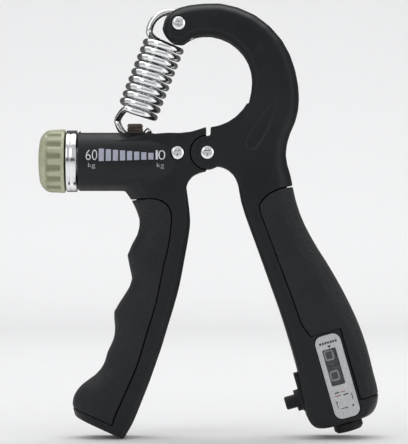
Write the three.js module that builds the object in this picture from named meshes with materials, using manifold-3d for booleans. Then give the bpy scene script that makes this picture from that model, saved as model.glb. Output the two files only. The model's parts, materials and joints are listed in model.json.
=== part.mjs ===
// Adjustable hand-grip exerciser with a press counter.
// Units are millimetres, +Z is up, -Y is the side that carries the scale and the counter window.
// Everything is modelled about the hinge pivot, then moved so that the origin is the bottom centre.
import * as THREE from 'three';
import Module from 'manifold-3d';

const wasm = await Module();
wasm.setup();

// ---------- placing ----------
const PIVOT_X = -0.55;
const PIVOT_HEIGHT = 108;
const GAP = 0.3;

// ---------- arm and hinge ----------
const ARM_INNER = { x: -0.4, z: 27, r: 17.5 };
const ARM_OUTER = { x: 1.5, z: 24.3, r: 32.7 };
const ARM_DEPTH = 8.5;
const TONGUE_R = 6;
const TONGUE_DEPTH = 3.9;
const CHEEK_R = 6.3;
const CHEEK_START = 4.2;
const RELIEF_R = 6.65;
const ARM_PIN = { x: -10.8, z: 48.7 };
const BARREL_PIN = { x: -11.3, z: -0.1 };
const HEAD_R = 2.5;

// ---------- barrel and adjuster ----------
const BARREL_R = 11.4;
const BARREL_Z = -3.1;
const BARREL_END = -49;
const BORE_R = 6.3;
const BORE_BOTTOM = -14.9;
const SCREW_PITCH = 3;
const SCREW_R = 3;
const SLOT = { from: -48, to: -13.9, half: 3.2 };
const NUT = { x: -27.4, length: 5.8, half: 2.9, top: 11, r: 6 };
const KNOB_R = 12.1;
const KNOB_RIBS = 16;

// ---------- spring ----------
const WIRE_R = 1.27;
const COIL_R = 6.7;
const COIL_TURNS = 10;
const COIL_PITCH = 3;
const COIL_MID = { x: -21.4, z: 28.5 };
const COIL_TILT = 21.4;
const UPPER_HOOK = { x: -14, z: 45.6, r: 8 };
const LOWER_HOOK = { x: NUT.x, z: 12.5, r: 6.6 };

// ---------- grips and handles ----------
const GRIP_WALL = 2.2;
const EDGE_CHAMFER = 2.2;
const LEG_DEPTH = 12;
const FINGER_DEPTH = 10.5;

// ---------- counter, in its own frame: x across, z along the counter axis ----------
const COUNTER = { x: 48.8, z: -84, tilt: 15.9 };
const AXLE = { x: -0.8, y: -2 };
const CAVITY_R = 8.1;
const CAVITY_TOP = 12.9;
const WHEEL_R = 7.6;
const AXLE_R = 1.5;
const LABEL = { w: 9.8, h: 32, r: 3, t: 0.6 };
const WINDOW = { x: -0.4, z: 3.7, w: 5.2, h: 14 };
const PINION_Y = 7.75;
const BUTTON_Z = -5.4;
const BUTTON_R = 2.55;
const CAP = { bottom: -18, top: -14.5, r: 7.8 };

// ---------- colours ----------
const BLACK = 0x17181a;
const RUBBER = 0x101112;
const CHROME = 0xd6d8da;
const OLIVE = 0x8f9072;
const BRONZE = 0x6f5138;
const SILVER = 0xb9bbbd;
const GLASS = 0x3c4148;
const NYLON = 0x26282b;

// ---------- small helpers ----------
function solid(geometry) {
  const flat = geometry.index ? geometry.toNonIndexed() : geometry;
  const p = flat.getAttribute('position');
  const seen = new Map();
  const verts = [];
  const tris = [];
  for (let i = 0; i < p.count; i += 3) {
    const ids = [0, 1, 2].map((k) => {
      const v = [p.getX(i + k), p.getY(i + k), p.getZ(i + k)];
      const key = v.map((c) => Math.round(c * 1e4)).join();
      if (!seen.has(key)) {
        seen.set(key, verts.length / 3);
        verts.push(...v);
      }
      return seen.get(key);
    });
    if (ids[0] !== ids[1] && ids[1] !== ids[2] && ids[0] !== ids[2]) tris.push(...ids);
  }
  const mesh = new wasm.Mesh({
    numProp: 3,
    vertProperties: new Float32Array(verts),
    triVerts: new Uint32Array(tris),
  });
  const made = new wasm.Manifold(mesh);
  return made;
}

function bufferOf(manifold) {
  const m = manifold.getMesh();
  const g = new THREE.BufferGeometry();
  g.setAttribute('position', new THREE.BufferAttribute(new Float32Array(m.vertProperties), 3));
  g.setIndex(new THREE.BufferAttribute(new Uint32Array(m.triVerts), 1));
  return g;
}

function piece(name, shape, colour, metalness = 0, roughness = 0.6) {
  const geometry = shape.isBufferGeometry ? shape : bufferOf(shape);
  const material = new THREE.MeshStandardMaterial({ color: colour, metalness, roughness });
  material.name = `${name}_material`;
  geometry.computeVertexNormals();
  const mesh = new THREE.Mesh(geometry, material);
  mesh.name = name;
  return mesh;
}

const v2 = (x, y) => new THREE.Vector2(x, y);
const rad = THREE.MathUtils.degToRad;

function outwards(geometry) {
  const p = geometry.getAttribute('position');
  const ix = geometry.index.array;
  const a = new THREE.Vector3();
  const b = new THREE.Vector3();
  const c = new THREE.Vector3();
  let volume = 0;
  for (let i = 0; i < ix.length; i += 3) {
    a.fromBufferAttribute(p, ix[i]);
    b.fromBufferAttribute(p, ix[i + 1]);
    c.fromBufferAttribute(p, ix[i + 2]);
    volume += a.dot(b.cross(c));
  }
  if (volume < 0) {
    for (let i = 0; i < ix.length; i += 3) [ix[i], ix[i + 1]] = [ix[i + 1], ix[i]];
  }
  return geometry;
}

// A skin over closed rings of equal length, with both ends closed by flat fans.
function skin(rings) {
  const n = rings[0].length;
  const verts = rings.flat(2);
  const ix = [];
  for (let j = 0; j + 1 < rings.length; j++) {
    for (let i = 0; i < n; i++) {
      const a = j * n + i;
      const b = j * n + ((i + 1) % n);
      ix.push(a, b, a + n, b, b + n, a + n);
    }
  }
  const last = (rings.length - 1) * n;
  for (let i = 1; i + 1 < n; i++) {
    ix.push(0, i + 1, i);
    ix.push(last, last + i, last + i + 1);
  }
  const g = new THREE.BufferGeometry();
  g.setAttribute('position', new THREE.Float32BufferAttribute(verts, 3));
  g.setIndex(ix);
  return outwards(g);
}

// An outline in the XZ plane made solid from y0 to y1.
function slab(shape, y0, y1, curveSegments = 8) {
  const g = new THREE.ExtrudeGeometry(shape, { depth: y1 - y0, bevelEnabled: false, curveSegments });
  g.rotateX(Math.PI / 2);
  g.translate(0, y1, 0);
  return solid(g);
}

function outline(points) {
  return new THREE.Shape(points.map(([x, z]) => v2(x, z)));
}

function box(x0, x1, y0, y1, z0, z1) {
  const g = new THREE.BoxGeometry(x1 - x0, y1 - y0, z1 - z0);
  g.translate((x0 + x1) / 2, (y0 + y1) / 2, (z0 + z1) / 2);
  return solid(g);
}

// A turned body about the Z axis from a closed profile of [radius, height] points.
function turned(profile, segments = 24) {
  const g = new THREE.LatheGeometry(profile.map(([r, h]) => v2(r, h)), segments);
  g.rotateX(Math.PI / 2);
  return outwards(g);
}

function rod(r, h0, h1, segments = 24) {
  return turned([[0, h0], [r, h0], [r, h1], [0, h1]], segments);
}

function tube(inner, outer, h0, h1, segments = 24) {
  return turned([[inner, h0], [outer, h0], [outer, h1], [inner, h1], [inner, h0]], segments);
}

// Turned bodies moved onto the other axes: heights become y, or heights become x.
function alongY(geometry, x = 0, z = 0) {
  geometry.rotateX(-Math.PI / 2);
  geometry.translate(x, 0, z);
  return geometry;
}

function alongX(geometry, y = 0, z = 0) {
  geometry.rotateY(Math.PI / 2);
  geometry.translate(0, y, z);
  return geometry;
}

// The counter's own frame put where it sits in the palm handle.
const COUNTER_PLACE = new THREE.Matrix4()
  .makeTranslation(COUNTER.x, 0, COUNTER.z)
  .multiply(new THREE.Matrix4().makeRotationY(-rad(COUNTER.tilt)));

function inCounter(shape) {
  const g = shape.isBufferGeometry ? shape : bufferOf(shape);
  return g.applyMatrix4(COUNTER_PLACE);
}

// ---------- handle skins ----------
// Across a handle: a flat inner face with chamfered edges, flat sides and a rounded outer face.
function handleProfile(w, b, chamfer, round, arcs) {
  const c = Math.max(0.2, Math.min(chamfer, 0.5 * w, 0.5 * b));
  const start = w - Math.min(round, 2 * w - c - 0.4);
  const points = [[-w, -(b - c)], [-w, 0], [-w, b - c], [c - w, b]];
  for (let i = 0; i <= arcs; i++) {
    const a = Math.PI / 2 - (Math.PI * i) / arcs;
    const power = 0.86;
    const u = start + (w - start) * Math.pow(Math.max(0, Math.cos(a)), power);
    const v = b * Math.sign(Math.sin(a)) * Math.pow(Math.abs(Math.sin(a)), power);
    points.push([u, v]);
  }
  points.push([c - w, -b]);
  return points;
}

function smoothValues(values) {
  const curve = new THREE.SplineCurve(values.map((v, i) => v2(i, v)));
  return (t) => curve.getPoint(t).y;
}

// A handle between an inner and an outer rail; inset makes the same handle thinner all round.
function handleLoft(rail, stations, arcs, inset = 0, dome = 0) {
  const inner = new THREE.SplineCurve(rail.map((s) => v2(s[0], s[1])));
  const outer = new THREE.SplineCurve(rail.map((s) => v2(s[2], s[3])));
  const depth = smoothValues(rail.map((s) => s[4]));
  const round = smoothValues(rail.map((s) => s[5]));
  const chamfer = smoothValues(rail.map((s) => s[6]));
  const ring = (t, shrink, push) => {
    const a = inner.getPoint(t);
    const b = outer.getPoint(t);
    const w = a.distanceTo(b) / 2;
    const dir = b.clone().sub(a).normalize();
    const mid = a.clone().add(b).multiplyScalar(0.5);
    const out = v2(dir.y, -dir.x);
    const flat = handleProfile(
      (w - inset) * shrink, (depth(t) - inset) * shrink, chamfer(t) * shrink, round(t) * shrink, arcs);
    return flat.map(([u, v]) => [
      mid.x + dir.x * u - out.x * push, v, mid.y + dir.y * u - out.y * push]);
  };
  const rings = [];
  if (dome) {
    for (const angle of [75, 50, 25]) {
      rings.push(ring(0, Math.cos(rad(angle)), dome * Math.sin(rad(angle))));
    }
  }
  for (let j = 0; j <= stations; j++) rings.push(ring(j / stations, 1, 0));
  return solid(skin(rings));
}

const onCircle = (c, degrees) => [c.x + c.r * Math.cos(rad(degrees)), c.z + c.r * Math.sin(rad(degrees))];

// Each station, from the arm tip to the foot:
// inner x, inner z, outer x, outer z, half depth, outer rounding, inner chamfer.
function palmRail() {
  const arm = [100, 80, 57, 34, 14].map((a) => [
    ...onCircle(ARM_INNER, a), ...onCircle(ARM_OUTER, a), ARM_DEPTH, 5, EDGE_CHAMFER]);
  return [
    [-11.6, 41.5, -16.9, 48, ARM_DEPTH, 5, EDGE_CHAMFER],
    [-9.3, 41.2, -15.7, 51.8, ARM_DEPTH, 5, EDGE_CHAMFER],
    [-6.9, 42.8, -11.7, 54.8, ARM_DEPTH, 5, EDGE_CHAMFER],
    ...arm,
    [17, 25, 34.9, 21.8, ARM_DEPTH, 5, 1.6],
    [15.2, 16.6, 34, 13.4, ARM_DEPTH, 5, 1.2],
    [12.9, 9, 30.9, 5.6, ARM_DEPTH, 5.5, 0.5],
    [12, -5, 29.9, -1.6, ARM_DEPTH, 7, 0.5],
    [12.2, -14.8, 31.8, -8.9, 9.2, 8.5, 0.7],
    [14.3, -23, 33.5, -17.3, 10.1, 10, 1.2],
    [17.4, -31.6, 36.4, -25.8, 11, 10.5, 1.6],
    [20.8, -41, 41, -34.5, 11.6, 11, 1.8],
    [24.2, -50.5, 46.6, -43.4, LEG_DEPTH, 11, 2],
    [27.6, -60, 52, -53, LEG_DEPTH, 10, 2],
    [30.6, -69.5, 56.8, -63, LEG_DEPTH, 8.5, EDGE_CHAMFER],
    [33.1, -78, 60.4, -72.8, LEG_DEPTH, 7, EDGE_CHAMFER],
    [35.2, -86.3, 62.9, -82.5, LEG_DEPTH, 7, EDGE_CHAMFER],
    [36.5, -94, 64.8, -90, LEG_DEPTH, 7, EDGE_CHAMFER],
    [37.6, -99.6, 64.7, -93.6, LEG_DEPTH, 6.5, EDGE_CHAMFER],
    [39.4, -102.6, 64, -96.4, 11.8, 6, EDGE_CHAMFER],
    [41.6, -103.9, 62.4, -98.6, 11.1, 5, EDGE_CHAMFER],
    [44.1, -104.1, 60.6, -99.4, 10.2, 4, EDGE_CHAMFER],
  ];
}

function fingerRail() {
  return [
    [-9.4, -7, -33, -7, ARM_DEPTH, 10, 0.5],
    [-8, -13, -32.2, -12.9, ARM_DEPTH, 11, 0.7],
    [-7.2, -18.6, -28.9, -17.9, 9, 11, 1.2],
    [-6.5, -25.5, -25.8, -25.2, 9.6, 10, 1.8],
    [-7.1, -31.5, -26.8, -31.3, 10.1, 10, EDGE_CHAMFER],
    [-8.6, -40, -30.4, -38.8, FINGER_DEPTH, 11, EDGE_CHAMFER],
    [-10.4, -49.5, -28.6, -47.6, FINGER_DEPTH, 10, EDGE_CHAMFER],
    [-11.9, -55.5, -31.2, -53.4, FINGER_DEPTH, 10, EDGE_CHAMFER],
    [-13.8, -62, -35.4, -60.2, FINGER_DEPTH, 11, EDGE_CHAMFER],
    [-15.6, -67.8, -35.1, -65.6, FINGER_DEPTH, 10, EDGE_CHAMFER],
    [-17, -72.6, -35.6, -70.4, FINGER_DEPTH, 10, EDGE_CHAMFER],
    [-18.8, -78, -38, -75.6, FINGER_DEPTH, 10, EDGE_CHAMFER],
    [-20.7, -83.4, -39.3, -80, FINGER_DEPTH, 10, EDGE_CHAMFER],
    [-22.6, -88.6, -42.4, -84, FINGER_DEPTH, 10, EDGE_CHAMFER],
    [-24.6, -93.6, -47.6, -87.8, FINGER_DEPTH, 10.5, EDGE_CHAMFER],
    [-26.6, -98.6, -50.7, -92, FINGER_DEPTH, 11, EDGE_CHAMFER],
    [-28.6, -103, -51.2, -96, FINGER_DEPTH, 11, EDGE_CHAMFER],
    [-31.6, -108, -50.2, -99.6, 9.9, 10, EDGE_CHAMFER],
  ];
}

const PALM_STATIONS = 46;
const FINGER_STATIONS = 34;

// ---------- grip outlines ----------
function insideCounter(x, z) {
  const t = rad(COUNTER.tilt);
  return [COUNTER.x + x * Math.cos(t) - z * Math.sin(t), COUNTER.z + x * Math.sin(t) + z * Math.cos(t)];
}

// Shrinks a grip outline by the gap, away from the bare plastic.
function easeOutline(points, gap, side, middle, half) {
  return points.map(([x, z]) => [x + side * gap, middle + (z - middle) * (1 - gap / half)]);
}

function smoothLine(points, steps) {
  const curve = new THREE.SplineCurve(points.map(([x, z]) => v2(x, z)));
  return curve.getPoints(steps).map((p) => [p.x, p.y]);
}

function palmSeam() {
  const top = [[31.5, -12.6], [27.7, -13.4], [23.6, -15.2], [20.6, -17.9], [19.5, -21.2]];
  const side = [[22.2, -29], [26.6, -41], [30.8, -52.2], [35.2, -64.6]];
  return smoothLine([...top, ...side], 24);
}

function palmRegion(gap) {
  const foot = -11;
  const front = [
    [90, -12.6], ...palmSeam(),
    insideCounter(-5.8, 16.9), insideCounter(5.8, 16.9), insideCounter(5.8, foot), insideCounter(40, foot)];
  const back = [
    [90, -12.6], ...palmSeam(), insideCounter(-6.6, 16), insideCounter(-7.4, foot), insideCounter(40, foot)];
  const ease = (points) => outline(easeOutline(points, gap, 1, -52, 39));
  return slab(ease(front), -20, 0.02).add(slab(ease(back), 0, 20));
}

function fingerRegion(gap) {
  const seam = smoothLine([
    [-30.5, -18], [-24, -17.3], [-18.4, -17.6], [-14.4, -20.4], [-13.4, -25], [-14.3, -34],
    [-16.7, -44.5], [-19.4, -57.5], [-22.6, -68], [-26.2, -80], [-30.4, -90], [-34.8, -99.8],
  ], 30);
  const points = [[-70, -18], ...seam, [-35.6, -102.9], [-49.4, -96.8], [-70, -88]];
  return slab(outline(easeOutline(points, gap, -1, -60, 43)), -20, 20);
}

// ---------- fasteners ----------
// A cross-recessed screw along Y with its head on the -Y side.
function crossScrew(pin, shank, head, end) {
  const profile = [
    [0, -end], [shank, -end], [shank, head], [HEAD_R, head], [HEAD_R, head + 0.7], [1.7, head + 1.15],
    [0, head + 1.3]];
  const body = solid(turned(profile, 20));
  const depth = head + 0.7;
  const cross = box(-1.5, 1.5, -0.3, 0.3, depth, depth + 2).add(box(-0.3, 0.3, -1.5, 1.5, depth, depth + 2));
  const g = bufferOf(body.subtract(cross));
  g.rotateX(Math.PI / 2);
  g.translate(pin.x, 0, pin.z);
  return g;
}

// A blind cap nut along Y on the +Y side.
function capNut(pin, shank, mouth, head) {
  const bore = shank + GAP;
  const profile = [
    [bore, mouth], [HEAD_R, mouth], [HEAD_R, head + 0.7], [1.7, head + 1.15], [0, head + 1.3], [0, head],
    [bore, head], [bore, mouth]];
  return alongY(turned(profile, 20), pin.x, pin.z);
}

// The hole a screw and cap nut need, with room for both heads.
function fastenerHole(pin, shank, depth, mouth) {
  const through = rod(shank + GAP, -30, 30, 20);
  const front = rod(HEAD_R + GAP, -30, -(depth - 1.1), 20);
  const back = rod(HEAD_R + GAP, mouth - GAP, 30, 20);
  return [through, front, back].map((g) => solid(alongY(g, pin.x, pin.z))).reduce((a, b) => a.add(b));
}

const PIVOT = { x: 0, z: 0 };
const PIVOT_SHANK = 1.6;
const BARREL_SHANK = 1.3;
const ARM_SHANK = 1.15;
const NUT_MOUTH = 5;

// ---------- finger handle ----------
function fingerBody() {
  const barrel = alongX(turned([
    [0, BARREL_END], [BARREL_R - 0.5, BARREL_END], [BARREL_R, BARREL_END + 0.5], [BARREL_R, -22],
    [10.9, -18.5], [10.2, -15.5], [9.2, -13.2], [8.2, -11.6], [6.5, -10.4], [0, -10]], 32), 0, BARREL_Z);
  const hinge = outline([
    [-38, 3.9], [-30, 5.4], [-22, 6.9], [-15, 7.5], [-10, 7.4], [-6, 7.9], [-3, 8.8], [-0.4, 9.7],
    [-0.4, -6.9], [-2.9, -7.5], [-5.5, -8.7], [-7.2, -10.7], [-8, -13], [-24, -14]]);
  const tongue = solid(alongY(rod(TONGUE_R, -TONGUE_DEPTH, TONGUE_DEPTH, 32)));
  const link = slab(outline([[-8, 5.4], [0, 6], [0, -6], [-8, -5.4]]), -TONGUE_DEPTH, TONGUE_DEPTH);
  const relief = (y0, y1) => solid(alongY(rod(RELIEF_R, y0, y1, 40)));
  return solid(barrel)
    .add(slab(hinge, -ARM_DEPTH, ARM_DEPTH))
    .add(handleLoft(fingerRail(), FINGER_STATIONS, 10))
    .subtract(relief(-30, -TONGUE_DEPTH))
    .subtract(relief(TONGUE_DEPTH, 30))
    .add(tongue)
    .add(link);
}

// Everything the barrel is bored and slotted for.
function barrelRoom() {
  const bore = solid(alongX(rod(BORE_R, BARREL_END - 5, BORE_BOTTOM, 28), 0, BARREL_Z));
  const slot = box(SLOT.from, SLOT.to, -SLOT.half, SLOT.half, 0, 30);
  return bore.add(slot);
}

function fingerCore() {
  const under = handleLoft(fingerRail(), 20, 6, GRIP_WALL + GAP);
  return fingerBody()
    .subtract(fingerRegion(0))
    .add(under)
    .subtract(barrelRoom())
    .subtract(fastenerHole(PIVOT, PIVOT_SHANK, ARM_DEPTH, NUT_MOUTH))
    .subtract(fastenerHole(BARREL_PIN, BARREL_SHANK, ARM_DEPTH, NUT_MOUTH));
}

function fingerGrip() {
  const under = handleLoft(fingerRail(), 20, 6, GRIP_WALL);
  return fingerBody().intersect(fingerRegion(GAP)).subtract(under);
}

function collarRing() {
  const face = BARREL_END - GAP;
  const profile = [
    [SCREW_R + GAP, face - 4.1], [11.3, face - 4.1], [11.7, face - 3.8], [11.7, face - 0.4],
    [11.3, face], [BORE_R - GAP, face], [BORE_R - GAP, face + 3], [SCREW_R + GAP, face + 3],
    [SCREW_R + GAP, face - 4.1]];
  return alongX(turned(profile, 32), 0, BARREL_Z);
}

function tailBush() {
  return alongX(tube(1.7, BORE_R - GAP, BORE_BOTTOM - 2.4, BORE_BOTTOM - GAP, 20), 0, BARREL_Z);
}

// ---------- adjuster ----------
const KNOB = { rim: -53.9, ribs: -55, shoulder: -59.6, end: -63.8 };

function adjusterKnob() {
  const around = KNOB_RIBS * 4;
  const ring = (x, r, rib) => {
    const points = [];
    for (let i = 0; i < around; i++) {
      const a = (2 * Math.PI * i) / around;
      const here = i % 4 < 2 ? r : r - rib;
      points.push([x, here * Math.cos(a), BARREL_Z + here * Math.sin(a)]);
    }
    return points;
  };
  const outside = solid(skin([
    ring(KNOB.rim, KNOB_R, 0), ring(KNOB.ribs, KNOB_R, 0), ring(KNOB.ribs - 0.3, KNOB_R - 0.05, 0.8),
    ring(KNOB.shoulder, KNOB_R - 0.2, 0.7), ring(KNOB.shoulder - 1.5, KNOB_R - 0.8, 0.2),
    ring(KNOB.end + 1.4, KNOB_R - 2, 0), ring(KNOB.end + 0.4, KNOB_R - 3.8, 0),
    ring(KNOB.end, KNOB_R - 6.5, 0)]));
  const hollow = alongX(turned([
    [4.6, KNOB.rim + 5], [4.6, KNOB.shoulder + 1], [KNOB_R - 2.4, KNOB.shoulder + 1],
    [KNOB_R - 2.4, KNOB.rim + 5], [4.6, KNOB.rim + 5]], 24), 0, BARREL_Z);
  const square = box(KNOB.shoulder - 0.4, KNOB.rim + 5, -2.2, 2.2, BARREL_Z - 2.2, BARREL_Z + 2.2);
  return outside.subtract(solid(hollow)).subtract(square);
}

function leadScrew() {
  const start = BARREL_END + 3.2;
  const stop = BORE_BOTTOM - 3.2;
  const step = SCREW_PITCH / 4;
  const around = 12;
  const rings = [];
  const circle = (x, r) => Array.from({ length: around }, (_, i) => {
    const a = (2 * Math.PI * i) / around;
    return [x, r * Math.cos(a), BARREL_Z + r * Math.sin(a)];
  });
  rings.push(circle(KNOB.rim + 0.6, SCREW_R - 0.05));
  rings.push(circle(start - 0.6, SCREW_R - 0.05));
  const count = Math.floor((stop - start) / step);
  for (let j = 0; j <= count; j++) {
    const x = start + j * step;
    rings.push(Array.from({ length: around }, (_, i) => {
      const a = (2 * Math.PI * i) / around;
      const r = SCREW_R - 0.4 + 0.4 * Math.cos((2 * Math.PI * x) / SCREW_PITCH - a);
      return [x, r * Math.cos(a), BARREL_Z + r * Math.sin(a)];
    }));
  }
  rings.push(circle(stop + 0.4, 1.4));
  rings.push(circle(BORE_BOTTOM - 0.6, 1.4));
  const square = box(KNOB.shoulder, KNOB.rim + 1, -1.9, 1.9, BARREL_Z - 1.9, BARREL_Z + 1.9);
  return solid(skin(rings)).add(square);
}

function hookRing(hook, from, to, count) {
  return Array.from({ length: count + 1 }, (_, i) => {
    const [x, z] = onCircle(hook, from + ((to - from) * i) / count);
    return new THREE.Vector3(x, 0, z);
  });
}

function sweep(points, radius, steps, sides) {
  const curve = new THREE.CatmullRomCurve3(points, false, 'centripetal');
  const shape = new THREE.Shape();
  shape.absarc(0, 0, radius, 0, Math.PI * 2, false);
  const g = new THREE.ExtrudeGeometry(shape, {
    steps, extrudePath: curve, bevelEnabled: false, curveSegments: sides / 2 });
  return solid(g);
}

function springNut() {
  const x0 = NUT.x - NUT.length / 2;
  const x1 = NUT.x + NUT.length / 2;
  const body = solid(alongX(rod(NUT.r, x0, x1, 28), 0, BARREL_Z));
  const neck = box(x0, x1, -NUT.half, NUT.half, BARREL_Z, NUT.top);
  const bore = solid(alongX(rod(SCREW_R + GAP, x0 - 1, x1 + 1, 20), 0, BARREL_Z));
  const eye = sweep(hookRing(LOWER_HOOK, 220, 320, 8), WIRE_R + 0.33, 10, 10);
  const lines = [10.8, 9.6].map((z) => box(x0 - 1, x0 + 0.3, -4, 4, z - 0.25, z + 0.25)
    .add(box(x1 - 0.3, x1 + 1, -4, 4, z - 0.25, z + 0.25)));
  return lines.reduce((a, b) => a.subtract(b), body.add(neck).subtract(bore).subtract(eye));
}

// ---------- spring ----------
function springPath() {
  const t = rad(COIL_TILT);
  const up = new THREE.Vector3(Math.sin(t), 0, Math.cos(t));
  const side = new THREE.Vector3(Math.cos(t), 0, -Math.sin(t));
  const mid = new THREE.Vector3(COIL_MID.x, 0, COIL_MID.z);
  const at = (turn) => {
    const a = Math.PI + 2 * Math.PI * turn;
    return mid.clone()
      .addScaledVector(up, (turn - COIL_TURNS / 2) * COIL_PITCH)
      .addScaledVector(side, COIL_R * Math.cos(a))
      .add(new THREE.Vector3(0, COIL_R * Math.sin(a), 0));
  };
  const per = 14;
  const coil = [];
  for (let i = 2; i <= COIL_TURNS * per - 2; i++) coil.push(at(i / per));
  const lower = hookRing(LOWER_HOOK, 325, 178, 11);
  const upper = hookRing(UPPER_HOOK, 178, -16, 14);
  return [...lower, ...coil, ...upper];
}

function tensionSpring() {
  return sweep(springPath(), WIRE_R, 156, 8);
}

function springBush() {
  return alongY(tube(ARM_SHANK + 0.25, 1.9, -1.4, 1.4, 16), ARM_PIN.x, ARM_PIN.z);
}

// ---------- palm handle ----------
function palmBody() {
  const lugTop = [-74, -62, -50, -38, -29].map((a) => onCircle(ARM_INNER, a));
  const lug = outline([
    [1.2, onCircle(ARM_INNER, -85)[1]], ...lugTop, [24, 18], [24, -12], [12.3, -14.6],
    [11.9, -12.6], [11.2, -10.4], [10, -8.3], [8.2, -6.6], [5.8, -5.4], [1.2, -4.5]]);
  const cheeks = solid(alongY(rod(CHEEK_R, -ARM_DEPTH, ARM_DEPTH, 40)));
  const tongueRoom = solid(alongY(rod(TONGUE_R + GAP, -CHEEK_START, CHEEK_START, 40)));
  const leftRoom = box(-9, 1.2, -CHEEK_START, CHEEK_START, -9, 9);
  return handleLoft(palmRail(), PALM_STATIONS, 10, 0, 1.6)
    .add(slab(lug, -ARM_DEPTH, ARM_DEPTH))
    .add(cheeks)
    .subtract(tongueRoom)
    .subtract(leftRoom);
}

// The teardrop hollow on each side of the arm root.
function leafHollow() {
  const shape = new THREE.Shape();
  shape.moveTo(26.4, 21.2);
  shape.bezierCurveTo(26, 14, 22, 6, 18.6, 1.9);
  shape.bezierCurveTo(16.6, 0.2, 14, 1.6, 14.4, 4.2);
  shape.bezierCurveTo(16.6, 9.5, 21.5, 15, 26.4, 21.2);
  return slab(shape, -20, -(ARM_DEPTH - 0.6)).add(slab(shape, ARM_DEPTH - 0.6, 20));
}

function hookSlot() {
  return solid(alongY(rod(UPPER_HOOK.r + WIRE_R + 1.6, -1.75, 1.75, 36), UPPER_HOOK.x, UPPER_HOOK.z));
}

function roundedRectangle(cx, cz, w, h, r) {
  const s = new THREE.Shape();
  const x = cx - w / 2;
  const z = cz - h / 2;
  s.moveTo(x + r, z);
  s.lineTo(x + w - r, z);
  s.absarc(x + w - r, z + r, r, -Math.PI / 2, 0, false);
  s.absarc(x + w - r, z + h - r, r, 0, Math.PI / 2, false);
  s.absarc(x + r, z + h - r, r, Math.PI / 2, Math.PI, false);
  s.absarc(x + r, z + r, r, Math.PI, 1.5 * Math.PI, false);
  return s;
}

function upright(geometry, x, y) {
  geometry.translate(x, y, 0);
  return solid(geometry);
}

// Everything the palm handle is hollowed for around the counter.
function counterRoom() {
  const face = -LEG_DEPTH;
  const parts = [
    upright(rod(CAVITY_R, -40, CAVITY_TOP, 32), AXLE.x, AXLE.y),
    upright(rod(AXLE_R + GAP, CAVITY_TOP - 1, 15, 16), AXLE.x, AXLE.y),
    upright(rod(2.55, -40, CAVITY_TOP, 16), AXLE.x, PINION_Y),
    upright(rod(0.9, CAVITY_TOP - 1, 14.4, 12), AXLE.x, PINION_Y),
    slab(roundedRectangle(0, 0, LABEL.w + 0.6, LABEL.h + 0.6, LABEL.r + 0.3), face - 3, face + 0.9),
    slab(roundedRectangle(WINDOW.x, WINDOW.z, WINDOW.w + 1.6, WINDOW.h + 1.6, 0.5), face - 3, face + 1.8),
    box(WINDOW.x - 2.6, WINDOW.x + 2.6, -12, -5, WINDOW.z - 7, WINDOW.z + 7),
    box(-9.3, -2.6, AXLE.y - 1.7, 3.7, BUTTON_Z - 1.8, BUTTON_Z + 1.8),
    solid(alongX(rod(1.7, -16, -8, 16), AXLE.y, BUTTON_Z)),
    solid(alongX(rod(3.9, -30, -9.4, 24), AXLE.y, BUTTON_Z)),
    box(-20, -13.3, AXLE.y - 4.5, AXLE.y + 4.5, -9.9, 5.1),
  ];
  return solid(inCounter(parts.reduce((a, b) => a.add(b))));
}

function palmCore() {
  const under = handleLoft(palmRail(), 22, 6, GRIP_WALL + GAP);
  return palmBody()
    .subtract(palmRegion(0))
    .add(under.subtract(box(-60, 60, -20, 20, -8, 80)))
    .subtract(leafHollow())
    .subtract(hookSlot())
    .subtract(counterRoom())
    .subtract(fastenerHole(PIVOT, PIVOT_SHANK, ARM_DEPTH, NUT_MOUTH))
    .subtract(fastenerHole(ARM_PIN, ARM_SHANK, ARM_DEPTH, NUT_MOUTH));
}

function palmGrip() {
  const under = handleLoft(palmRail(), 22, 6, GRIP_WALL);
  return palmBody().intersect(palmRegion(GAP)).subtract(under);
}

// ---------- counter ----------
function labelPlate() {
  const y = -LEG_DEPTH;
  const plate = slab(roundedRectangle(0, 0, LABEL.w, LABEL.h, LABEL.r), y, y + LABEL.t, 5);
  const opening = roundedRectangle(WINDOW.x, WINDOW.z, WINDOW.w, WINDOW.h, 0.5);
  return inCounter(plate.subtract(slab(opening, y - 1, y + 2, 3)));
}

function windowLens() {
  const y = -LEG_DEPTH + LABEL.t + GAP;
  const shape = roundedRectangle(WINDOW.x, WINDOW.z, WINDOW.w + 1, WINDOW.h + 1, 0.4);
  return inCounter(slab(shape, y, y + 0.7, 3));
}

function numberWheel(z0, z1) {
  const deep = 1.5;
  const bore = AXLE_R + GAP;
  const g = turned([
    [bore, z0], [3.2, z0], [3.2, z0 + deep], [6.4, z0 + deep], [6.4, z0], [WHEEL_R, z0], [WHEEL_R, z1],
    [bore, z1], [bore, z0]], 30);
  g.translate(AXLE.x, AXLE.y, 0);
  return inCounter(g);
}

function ratchetWheel() {
  const s = new THREE.Shape();
  for (let i = 0; i < 10; i++) {
    const a = (2 * Math.PI * i) / 10;
    const b = a + (2 * Math.PI * 0.9) / 10;
    const tip = [4.2 * Math.cos(a), 4.2 * Math.sin(a)];
    if (i === 0) s.moveTo(...tip);
    else s.lineTo(...tip);
    s.lineTo(3.1 * Math.cos(a), 3.1 * Math.sin(a));
    s.lineTo(4 * Math.cos(b), 4 * Math.sin(b));
  }
  const bore = new THREE.Path();
  bore.absarc(0, 0, AXLE_R + GAP, 0, 2 * Math.PI, true);
  s.holes.push(bore);
  const g = new THREE.ExtrudeGeometry(s, { depth: 2.8, bevelEnabled: false, curveSegments: 16 });
  g.translate(AXLE.x, AXLE.y, BUTTON_Z - 1.4);
  return inCounter(solid(g));
}

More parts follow.
